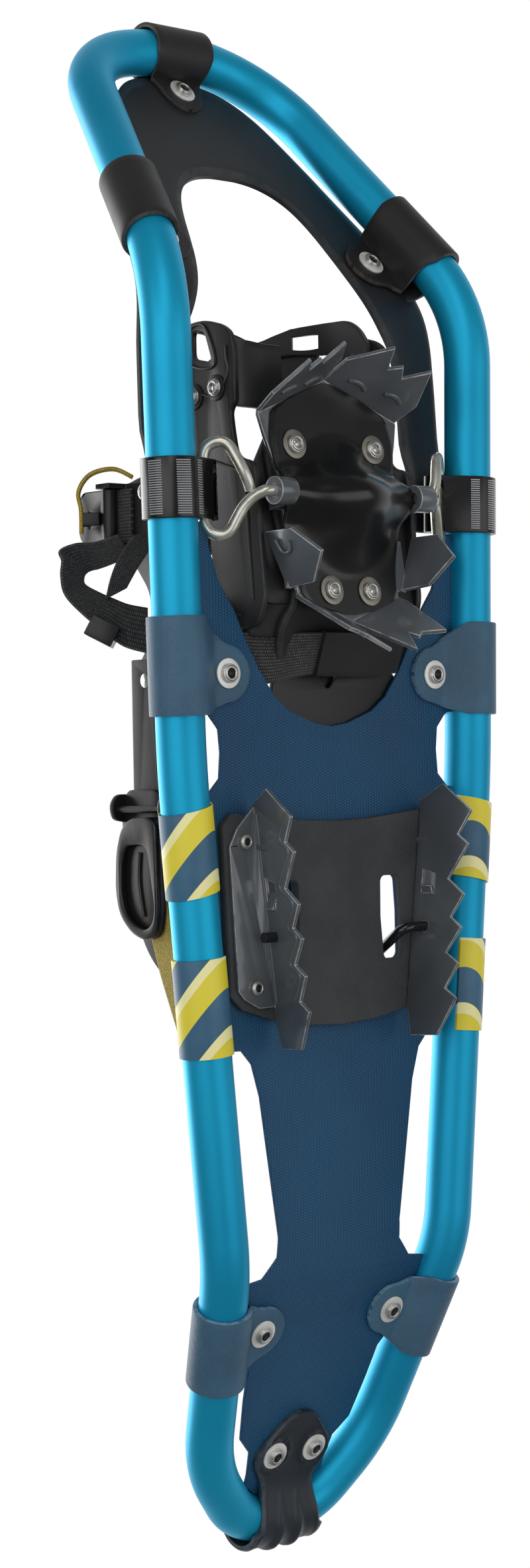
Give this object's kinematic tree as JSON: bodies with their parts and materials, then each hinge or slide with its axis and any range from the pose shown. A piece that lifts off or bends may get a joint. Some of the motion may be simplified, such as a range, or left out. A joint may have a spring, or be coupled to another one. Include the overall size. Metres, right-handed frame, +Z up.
{
  "type": "snowshoe",
  "caption": "Aluminium-tube snowshoe with a coated deck, a pivoting toothed crampon binding with instep and heel buckles, toothed heel brackets and a wire heel lift.",
  "frame": {"origin": "centre of the bounding box's base: the snowshoe stands on the tips of its rear claws and of its last heel bracket teeth, with the binding closed on the deck", "axes": "+Y along the snowshoe towards the toe, +X towards the wearer's right, +Z up, the boot side"},
  "size_m": [0.2114, 0.7214, 0.206],
  "materials": {
    "frame_blue": "satin anodised blue over drawn aluminium tube",
    "splice_metal": "plain drawn aluminium",
    "deck_fabric": "slate navy coated deck sheet with a fine woven dimple",
    "toe_mould": "charcoal moulded sheet with a fine grain",
    "black_rubber": "black rubber with paler cut edges",
    "slate_rubber": "slate blue speckled satin",
    "print_wrap": "slate printed film with yellow and cream stripes",
    "rivet_steel": "bright tubular rivets",
    "washer_steel": "pale plated washers",
    "zinc_wire": "bright zinc wire",
    "gloss_black": "gloss black moulding",
    "pad_foam": "charcoal fine-grained foam",
    "gunmetal": "gloss gunmetal paint with light worn edges",
    "black_wire": "gloss black painted wire",
    "harness_mould": "satin black moulding",
    "black_webbing": "ribbed black webbing",
    "mustard_webbing": "woven mustard webbing",
    "buckle_plastic": "satin black moulding"
  },
  "bodies": {
    "frame": {"frame_tube": "frame_blue", "frame_splice": "splice_metal", "main_deck": "deck_fabric", "toe_deck": "toe_mould", "toe_clip": "black_rubber", "front_clips": "black_rubber", "mid_clips": "slate_rubber", "rear_clips": "slate_rubber", "tail_clip": "black_rubber", "fore_wraps": "print_wrap", "aft_wraps": "print_wrap", "clip_rivets": "rivet_steel", "clip_washers": "washer_steel", "pivot_bands": "gloss_black", "pivot_rings": "zinc_wire", "heel_pad": "pad_foam", "heel_brackets": "gunmetal", "bracket_rivets": "rivet_steel"},
    "heel_lift": {"heel_lift": "black_wire"},
    "binding": {"toe_crampon": "gunmetal", "crampon_cover": "gloss_black", "crampon_rivets": "rivet_steel", "crampon_washers": "washer_steel", "footbed": "harness_mould", "heel_plate": "harness_mould", "harness_right": "harness_mould", "harness_left": "harness_mould", "harness_rivets": "rivet_steel", "toe_loop": "black_rubber", "underfoot_strap": "black_webbing", "instep_strap": "black_webbing", "instep_tail": "black_webbing", "slide_buckle": "buckle_plastic", "instep_buckle": "buckle_plastic", "heel_strap": "black_rubber", "heel_buckle": "buckle_plastic", "strap_tail": "mustard_webbing"},
    "instep_lever": {"instep_lever": "buckle_plastic", "pull_loop": "mustard_webbing"},
    "heel_lever": {"heel_lever": "buckle_plastic"}
  },
  "joints": [
    {"name": "binding_pivot", "type": "hinge", "parent": "frame", "child": "binding", "pos_m": [0, 0.13669, 0.04001], "axis": [-1, 0, 0], "range_deg": [0, 50]},
    {"name": "heel_lift_hinge", "type": "hinge", "parent": "frame", "child": "heel_lift", "pos_m": [0, -0.06219, 0.02455], "axis": [-1, 0, 0], "range_deg": [0, 85]},
    {"name": "instep_lever_hinge", "type": "hinge", "parent": "binding", "child": "instep_lever", "pos_m": [0.05695, 0.12148, 0.146], "axis": [0, 0.9945, 0.105], "range_deg": [0, 100]},
    {"name": "heel_lever_hinge", "type": "hinge", "parent": "binding", "child": "heel_lever", "pos_m": [0.0604, -0.01984, 0.11299], "axis": [0, -0.105, 0.9945], "range_deg": [0, 100]}
  ]
}
